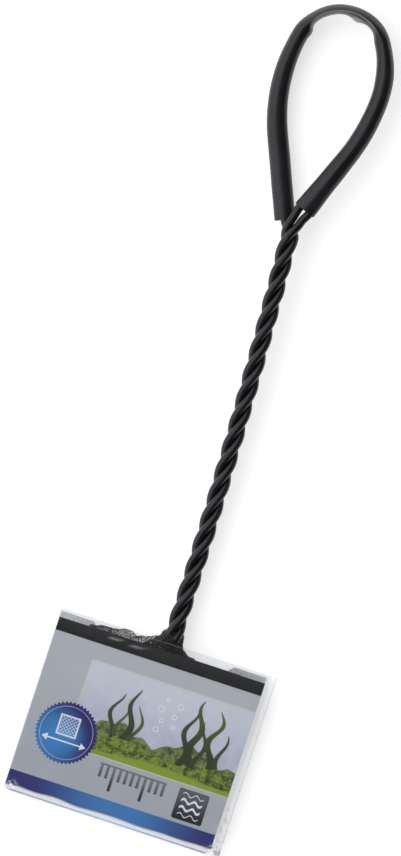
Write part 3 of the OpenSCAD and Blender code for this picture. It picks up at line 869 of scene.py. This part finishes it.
def sleeve_rings(s, wall, sides=56):
    """The hose round the wires: an oval |x / w|^n + |z / h|^n = 1 that keeps its girth.

    Its two sides have half widths of their own, whose mean is w, and h = sqrt(D^2 / 2 - w^2).
    Where it is folded flat, n falls towards 1.4, so that it comes to a ridge, which leans inward.
    At a buckle the inner side reaches further in and comes to a thin edge. It also gives how pale
    each place is: at the edge of the buckles and along the inner rim, and in a painted highlight along
    a thin line on top of the fold.
    """
    middle, h = pair_at(s)
    across = np.stack([np.cos(h), -np.sin(h), np.zeros_like(h)], -1)
    pinch = sum(bump(s - at, reach) for at, _, reach in BUCKLES)
    extra = sum(height * bump(s - at, reach) for at, height, reach in BUCKLES)
    a = (np.arange(sides) + 0.5) * 2 * np.pi / sides
    cos, sin = np.cos(a)[None], np.sin(a)[None]
    inner = cos < 0
    outer_w, inner_w = between_marks(s, OUTER_W_MARKS), between_marks(s, INNER_W_MARKS)
    half_w = (outer_w + inner_w) / 2
    flat = smooth((3.4 - half_w) / 1.3)
    ridge = 0.25 * smooth((225 - s) / 20)
    n = 2.0 - 0.55 * flat[:, None] - ridge[:, None] - 0.2 * pinch[:, None] * inner
    w = np.where(inner, (inner_w + extra)[:, None], outer_w[:, None]) - wall
    tall = np.sqrt(SLEEVE_D**2 / 2 - half_w**2)[:, None] - wall
    x = w * np.sign(cos) * np.abs(cos) ** (2 / n)
    z = -np.sign(sin) * np.abs(sin) ** (2 / n)
    x = x - 0.45 * flat[:, None] * np.abs(z) ** 2
    uneven = 1 + 0.012 * ripple(s[:, None], 5 * cos, 16.0, 5)
    rings = middle[:, None] + (x * uneven)[..., None] * across[:, None]
    rings[..., 2] += tall * z * uneven
    inward = -x / inner_w[:, None]
    edge = pinch[:, None] * np.clip(inward - 0.75, 0, 1) * 2.2
    # A painted highlight along a thin line on top of the fold.
    line = bump(inward - 0.3, 0.1) * (z > 0) * span(s, *TOP_HIGHLIGHT, 7)[:, None]
    rim = np.clip(4 * inward - 2.9, 0, 1) * span(s, *PALE_RIM, 5)[:, None]
    return rings, np.maximum(edge, line + 0.9 * rim)


def make_sleeve():
    """The grip sleeve that makes the crook, with the buckles inside its bend."""
    s = np.linspace(MOUTH_S, TOTAL_S, 360)
    outer, pinch = sleeve_rings(s, 0.0)
    bore, _ = sleeve_rings(s, SLEEVE_WALL)
    piece = tube("crook_sleeve", outer, bore, s)
    # How pale each place of the outer face is, with the painted highlight on top of the fold.
    set_values(piece, "pinch", np.concatenate([pinch, 0 * pinch]))
    finish_piece(piece, "net", "sleeve_vinyl", make_sleeve_vinyl())
    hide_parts("grip_sleeve")


# ---- Hem, stitches and netting ----

NET_THREAD = make_net_thread()

IN_X = BAR_X - CORNER_R
TOP = (IN_X - HEM_SETBACK, 0.0)
CORNER = arc(CORNER_R, 90.0)
SIDE = (-BAR_Y - 2 * CORNER_R, 0.0)
FRAME_ROUTE = (TOP, CORNER, SIDE, CORNER, (2 * IN_X, 0.0), CORNER, SIDE, CORNER, TOP)
FRAME_LEN = sum(row[0] for row in FRAME_ROUTE)


def round_frame(s, inward, up):
    """Places round the frame at lengths s, set inward from the wire's middle and up from it."""
    x, y, h = along_route(s, FRAME_ROUTE, (HEM_SETBACK, 0.0, np.pi / 2))
    return np.stack([x + inward * np.cos(h), y - inward * np.sin(h), FRAME_Z + up + 0 * x], -1)


def make_hem():
    """The hem: cloth wrapped round the wire and closed in a flat seam on the inside.

    Its radius at angle a from inward is R plus 2 mm of seam times exp(-(a / 0.24)^2), and soft
    puckers run along it between the stitches.
    """
    s = np.linspace(0, FRAME_LEN, 760)[:, None]
    a = np.linspace(-np.pi, np.pi, 29)[None, :-1]
    pucker = 0.05 * np.cos(2 * np.pi * s / STITCH) * bump(a, 0.9)
    pucker += 0.07 * ripple(s, 4 * np.cos(a), 7.0, 3)
    r = HEM_R - 0.1 + pucker + 2.0 * bump(a, 0.24)
    outer = round_frame(s + 0 * a, r * np.cos(a), r * np.sin(a))
    bore = round_frame(s + 0 * a, HEM_BORE_R * np.cos(a), HEM_BORE_R * np.sin(a))
    piece = tube("frame_hem", outer, bore, s[:, 0], 60)
    finish_piece(piece, "net", "hem_cloth", make_hem_cloth())
    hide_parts("hem_band")
    return piece


def make_stitches():
    """One running stitch: a thread that passes up and down through the seam of the hem.

    Its height is 0.6 tanh(3 sin(2 pi s / p)), where p is the length of a stitch, and its rings
    are square to its own run.
    """
    s = np.linspace(1.0, FRAME_LEN - 1.0, 1700)
    up_and_down = 0.6 * np.tanh(3 * np.sin(2 * np.pi * s / STITCH))
    line = round_frame(s, 3.15 + 0.12 * np.cos(np.pi * s / STITCH), up_and_down)
    run = unit(np.gradient(line, axis=0))
    side = unit(np.cross(run, (0.0, 0.0, 1.0)))
    ring = circles(np.arange(6) * 2 * np.pi / 6, side, np.cross(side, run))
    piece = tube("hem_stitches", line[:, None] + 0.16 * ring, line[:, None] + 0.05 * ring, s, 180)
    return finish_piece(piece, "net", "hem_cloth", make_sewing_thread())


def inside_frame(x, y, spare):
    """True inside the frame's round-cornered window, made larger by the spare."""
    half_y = (NET_TOP - NET_BOTTOM) / 2
    r = CORNER_R - HEM_R
    across = np.maximum(np.abs(x) - NET_X + r, 0)
    along = np.maximum(np.abs(y - (NET_TOP + NET_BOTTOM) / 2) - half_y + r, 0)
    return np.hypot(across, along) < r + spare


def honeycomb(width, length, pitch):
    """The threads of knitted netting, from one knot to the next, on a flat cloth.

    Cells stand at i (p, 0) + j (p / 2, p sqrt 3 / 2). Each has a knot above its place and one
    below, and three threads leave the upper one.
    """
    rise = pitch * np.sqrt(3) / 2
    rows = int(length / rise) + 3
    columns = int(width / pitch) + rows // 2 + 4
    i, j = np.meshgrid(np.arange(-rows // 2 - 2, columns), np.arange(-1, rows), indexing="ij")
    place = np.stack([(i + j / 2) * pitch, j * rise], -1).reshape(-1, 2)
    knot = np.array([0, pitch / 2 / np.sqrt(3)])
    steps = ((0.0, 0.0), (pitch / 2, rise), (-pitch / 2, rise))
    begin = np.concatenate([place + knot] * 3)
    end = np.concatenate([place + step - knot for step in steps])
    middle = (begin + end) / 2
    inside = ((middle > 0) & (middle < (width, length))).all(1)
    return begin[inside], end[inside]


def netting(name, shape, width, length, pitch, radius, keep=None):
    """A finished piece of netting over a surface, whose places come from shape(u, v).

    A thread faces the way that the surface does at its middle, from steps of 0.1 along u and v.
    """
    begin, end = honeycomb(width, length, pitch)
    if keep is not None:
        wanted = keep(*((begin + end) / 2).T)
        begin, end = begin[wanted], end[wanted]
    u, v = ((begin + end) / 2).T
    along_u = shape(u + 0.1, v) - shape(u - 0.1, v)
    along_v = shape(u, v + 0.1) - shape(u, v - 0.1)
    facing = unit(np.cross(along_u, along_v))
    piece = threads(name, shape(*begin.T), shape(*end.T), facing, radius)
    return finish_piece(piece, "net", "netting", NET_THREAD)


def folded_path():
    """The netting's fold in section: down, a half turn, up, a half turn and down again."""
    turn = (LAYER_Z[1] - LAYER_Z[0]) / 2
    low, high = NET_BOTTOM + 1.3, NET_TOP - 1.3
    a = np.linspace(0, np.pi, 9)
    out, up = turn * np.sin(a), turn * (1 - np.cos(a))
    y = np.concatenate([[NET_TOP], low - out, high + out, [NET_BOTTOM]])
    z = np.concatenate([LAYER_Z[:1], LAYER_Z[0] + up, LAYER_Z[1] + up, LAYER_Z[2:]])
    length = np.concatenate([[0], np.cumsum(np.hypot(np.diff(y), np.diff(z)))])
    return length, y, z


def make_folded_netting(with_pieces):
    """The bag of netting, folded flat in three layers inside the frame, and loosely creased."""
    length, path_y, path_z = folded_path()

    def shape(u, v):
        x = u - NET_X
        y = np.interp(v, length, path_y) + 0.5 * ripple(x, v, 26.0, 11)
        z = np.interp(v, length, path_z) + 0.4 * ripple(x, v, 13.0, 12)
        return np.stack([x + 0.3 * ripple(x, v, 19.0, 13), y, z], -1)

    def keep(u, v):
        place = shape(u, v)
        return inside_frame(place[:, 0], place[:, 1], 0.9)

    piece = netting("folded_netting", shape, 2 * NET_X, length[-1], 1.5, 0.2, keep)
    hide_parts("net_bag")


# The edge of the netting's fringe, and how far the gathers reach to each side of the neck
FRINGE_X = (
    -33.0, -28.3, -25.0, -22.0, -18.7, -16.4, -14.9, -12.6, -9.0, -6.0, -3.5, 0.0, 3.4, 5.8, 8.5, 11.0,
)
FRINGE_Y = (2.9, 3.9, 4.3, 4.7, 5.3, 5.6, 4.7, 4.9, 5.8, 6.9, 7.6, 7.4, 5.8, 3.9, 3.0, 2.5)
GATHER_Y = (-4.2, -2.6, 1.0, 2.2, 3.7, 4.7, 5.8, 7.0, 8.0, 10.5)
GATHER_LEFT = (5.0, 5.6, 10.5, 9.6, 8.2, 7.2, 6.2, 5.0, 4.3, 3.95)
GATHER_RIGHT = (5.0, 5.6, 9.6, 8.6, 6.0, 5.0, 4.4, 4.1, 4.0, 3.95)


def make_fringe():
    """The loose end of the netting, doubled, which shows above the card beside the neck.

    At a share c of its reach from the fold in its edge, 1 at either end, it stands out by
    (1 - c)^1.3 of its height beyond the bar, and bends round the bar by 100 degrees times c.
    Its edge follows two lobes on the left and falls away on the right.
    """
    width, length = 60.0, 26.0

    def shape(u, v):
        half = 2 * v / length - 1
        c = np.minimum(np.abs(half), 1)
        x = FRINGE_X[0] + (FRINGE_X[-1] - FRINGE_X[0]) * u / width
        edge = np.interp(x, FRINGE_X, FRINGE_Y) + 0.35 * ripple(x, 0 * x, 3.2, 21)
        bend = np.radians(100 * half)
        y = HEM_R * np.cos(bend) + (edge - HEM_R) * (1 - c) ** 1.3 + 0.25 * ripple(x, 9 * half, 5.0, 24)
        z = FRAME_Z + (HEM_R + 0.3) * np.sin(bend) + 0.3 * (1 - c) * ripple(x, 6 * half, 4.0, 22)
        return np.stack([x + 0.7 * ripple(x, 9 * half, 6.0, 23), y, z], -1)

    return netting("netting_fringe", shape, width, length, 1.7, 0.16)


def make_gather():
    """Netting bunched round the neck in three turns, in pleats that draw in towards the strands.

    Its half widths to the left and right come from the tables, and each turn lies a little
    further out. The pleats are a wave of eleven round it.
    """
    turns, width, length = 3, 108.0, 20.0

    def shape(u, v):
        share = v / length
        a = 2 * np.pi * turns * u / width
        edge = 9.6 + 0.7 * np.sin(a / turns + 0.7) + 0.5 * np.sin(5.3 * a)
        y = GATHER_Y[0] + (edge - GATHER_Y[0]) * share
        left, right = (np.interp(y, GATHER_Y, reach) for reach in (GATHER_LEFT, GATHER_RIGHT))
        w = np.where(np.cos(a) < 0, left, right)
        h = np.interp(y, (-4.2, -2.6, 1.0, 5.0, 10.0), (1.2, 2.2, 2.6, 3.4, 3.75))
        pleat = 1 + 0.04 * turns * u / width + 0.05 * np.sin(11 * a + 4 * share) * (1 - 0.6 * share)
        x = w * pleat * np.cos(a)
        z = h * pleat * np.sin(a) + 0.2 * ripple(x, 3 * y, 4.0, 31)
        return np.stack([x, y, FRAME_Z + z], -1)

    return netting("neck_gather", shape, width, length, 1.5, 0.19)


# ---- Card ----

LIP_ANGLE = LIP_LEN / LIP_R
LIP_Y = FRONT_EDGE - BAR_Y - LIP_R * np.sin(LIP_ANGLE)
FRONT_LEN = LIP_LEN + LIP_Y
FOLD_LEN = np.pi * CARD_R
BACK_LEN = FRONT_EDGE + EAR_H - BAR_Y


def card_waves(x, y):
    """How far the card stands out from flat: a slight bow and two soft waves, in mm."""
    bow = 0.1 * np.cos(np.pi * (x + 2.4) / 90) * np.sin(np.pi * np.clip(-y / 66, 0, 1))
    return bow + 0.09 * ripple(x, y, 34.0, 41) * smooth((y + 70) / 8)


def card_at(x_share, t, depth):
    """A place on the card, at a length t from the front edge and a depth under its outer face.

    In section the outer face is an arc down over the bar, a straight front, a half circle round
    the bottom bar and a straight back. The back's edge falls between its ears.
    """
    x_share, t = np.broadcast_arrays(x_share, t)
    x = CARD_X0 + CARD_W * x_share
    lip = LIP_ANGLE - np.clip(t, 0, LIP_LEN) / LIP_R
    front = np.clip(t - LIP_LEN, 0, LIP_Y)
    fold = np.clip(t - FRONT_LEN, 0, FOLD_LEN) / CARD_R
    from_edge = np.minimum(x - CARD_X0, CARD_X0 + CARD_W - x)
    back_end = FRONT_EDGE - BAR_Y + EAR_H * (1 - np.clip((from_edge - EAR_W) / EAR_H, 0, 1))
    back = np.clip(t - FRONT_LEN - FOLD_LEN, 0, BACK_LEN) / BACK_LEN * back_end
    angle = lip - fold
    ny, nz = np.sin(angle), np.cos(angle)
    on_lip, on_front = t < LIP_LEN, t < FRONT_LEN
    y = np.where(on_front, LIP_Y - front, CARD_R * ny + back)
    z = np.where(on_front, CARD_R, CARD_R * nz)
    y = np.where(on_lip, LIP_Y + LIP_R * np.sin(lip), y) - depth * ny
    z = np.where(on_lip, CARD_R - LIP_R * (1 - np.cos(lip)), z) - depth * nz
    waves = card_waves(x, BAR_Y + y) * nz * (CARD_R > depth)
    low = np.clip(FOLD_CORNER_R - (y + CARD_R), 0, FOLD_CORNER_R)
    inset = FOLD_CORNER_R - np.sqrt(FOLD_CORNER_R**2 - low**2)
    x = x + inset * (1 - 2 * x_share)
    return np.stack([x, BAR_Y + y, FRAME_Z + z + waves], -1)


def make_card():
    """The card, printed outside and bare inside."""
    t = np.concatenate([
        np.linspace(0, LIP_LEN, 7)[:-1],
        np.linspace(LIP_LEN, FRONT_LEN, 46)[:-1],
        np.linspace(FRONT_LEN, FRONT_LEN + FOLD_LEN, 31)[:-1],
        np.linspace(FRONT_LEN + FOLD_LEN, FRONT_LEN + FOLD_LEN + BACK_LEN, 40),
    ])[:, None]
    ears = np.array([EAR_W, EAR_W + EAR_H]) / CARD_W
    share = np.sort(np.concatenate([np.linspace(0, 1, 71), ears, 1 - ears]))[None]
    uv = np.stack(np.broadcast_arrays(share * CARD_W, t), -1) / 1000
    piece = slab("printed_card", card_at(share, t, 0.0), card_at(share, t, CARD_T), uv)
    finish_piece(piece, "card", "card", make_card_print(), make_card_board())
    index = np.ones(len(piece.data.polygons), np.int32)
    index[: (t.size - 1) * (share.size - 1)] = 0
    piece.data.polygons.foreach_set("material_index", index)
    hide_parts("card_sleeve")


# ---- Film ----


def film_half_height(x, y):
    """Half the film bag's thickness: it rises from each side weld to the card and lies over it.

    A share q of the way from the weld to the card's edge gives sin(pi q / 2)^0.8 of the height,
    and the bottom is round.
    """
    left = np.clip((x - FILM_X0) / (CARD_X0 - 0.3 - FILM_X0), 0, 1)
    right = np.clip((FILM_X1 - x) / (FILM_X1 - CARD_X0 - CARD_W - 0.3), 0, 1)
    lift = np.sin(np.pi / 2 * np.minimum(left, right)) ** 0.8
    low = np.clip(BAR_Y - y, 0, FILM_R)
    return (0.05 + (FILM_R - 0.05) * lift) * np.sqrt(1 - (low / FILM_R) ** 2)


def make_film_bag():
    """The clear bag over the card: a front and a back, joined round the sides and bottom.

    The loose strip on the right is crumpled. The stored value is how white each place is: milky at
    the welds and the mouth and in the crumples, and painted highlights in glints on the card's lip,
    along the fold and at the bottom corners.
    """
    turn = np.linspace(0, np.pi / 2, FILM_TURN_ROWS)
    straight = np.linspace(FILM_TOP, BAR_Y, FILM_ROWS - FILM_TURN_ROWS)
    y = np.concatenate([straight, BAR_Y - FILM_R * np.sin(turn[1:])])[:, None]
    q = np.linspace(0, 1, FILM_COLUMNS)
    side = FILM_X0 + (FILM_X1 - FILM_X0) * (q - np.sin(2 * np.pi * q) / (2 * np.pi) * 0.82)
    x = np.concatenate([side, side[-2:0:-1]])[None]
    face = np.repeat((1.0, -1.0), (FILM_COLUMNS, FILM_COLUMNS - 2))[None]
    height = film_half_height(x, y)
    flat = smooth(height / FILM_R * 1.6 - 0.6)
    loose = 1 - smooth((FILM_X1 - 3.4 - x) / 2.5)
    crumple = loose * (0.12 * ripple(x, y, 7.0, 51) + 0.3 * bump(y + 66, 9.0) * ripple(x, y, 3.0, 52))
    mouth = smooth((y - 1.0) / 6.0) * (0.3 * ripple(x, 0 * y, 30.0, 53) + 0.35)
    bottom = bump(y + 67.5, 5.0) * 0.22 * ripple(x, 0.5 * y, 15.0, 54)
    skin = 0.07 * ripple(x, y, 11.0, 55) * flat
    out = height + card_waves(x, y) * flat + np.maximum(skin + bottom, -0.12) + mouth
    z = np.maximum(FRAME_Z + face * out + crumple, 0.06)
    z = np.where(height < 0.06, FRAME_Z + crumple, z)
    points = np.stack(np.broadcast_arrays(x, y, z), -1)
    faces = ring_faces(*points.shape[:2], False)
    piece = add_piece("film_bag", points.reshape(-1, 3), faces[:, ::-1], sharp=180)
    weld = 0.4 * bump(np.minimum(x - FILM_X0, FILM_X1 - x), 0.4)
    rim = 0.12 * bump(y - FILM_TOP, 0.25)
    folds = 0.35 * loose * bump(y + 62, 12.0) * np.clip(ripple(x, y, 3.0, 56), 0, 1)
    # Painted highlights: glints on the card's lip, a stripe along the fold with a wavy upper edge, and
    # spots at the bottom corners.
    glint = np.clip(1.6 * ripple(x, 6 * y, 9.0, 57), 0, 1) * bump(y - 0.3, 0.7) * bump(x + 18, 10.0)
    highlight_top = 0.5 * ripple(x, 0 * y, 11.0, 58) - 67.1
    fold_highlight = smooth((y + 69.7) / 0.6) * smooth((highlight_top - y) / 1.2) * (face > 0)
    corner = bump(np.abs(x + 1.0) - 42.3, 2.0) * bump(y + 67.6, 1.6)
    corner = corner * np.clip(2 * ripple(x, y, 1.8, 59), 0, 1)
    pale_and_highlight = weld + rim + folds + 0.45 * glint + 1.9 * fold_highlight + 1.5 * corner
    set_values(piece, "pale_and_highlight", np.broadcast_to(pale_and_highlight, points.shape[:2]))
    return piece


def close_film(piece):
    """Joins the two faces of the bag along its bottom line and gives the film its thickness."""
    shell = bmesh.new()
    shell.from_mesh(piece.data)
    bmesh.ops.remove_doubles(shell, verts=shell.verts, dist=1e-6)
    bmesh.ops.recalc_face_normals(shell, faces=shell.faces)
    shell.to_mesh(piece.data)
    shell.free()
    wall = piece.modifiers.new("film_wall", "SOLIDIFY")
    wall.thickness = FILM_T / 1000
    wall.offset = -1.0
    finish_piece(piece, "bag", "film", make_film())
    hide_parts("clear_bag")


make_strands()
make_sleeve()
make_folded_netting([make_hem(), make_stitches(), make_fringe(), make_gather()])
make_card()
close_film(make_film_bag())

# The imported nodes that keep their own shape
for ending, finish in (("_core", make_steel()), ("_coat", make_wire_vinyl())):
    for name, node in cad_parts.items():
        if name.endswith(ending):
            node.data.materials.clear()
            node.data.materials.append(finish)

scene = bpy.context.scene
scene.view_settings.view_transform = "Standard"
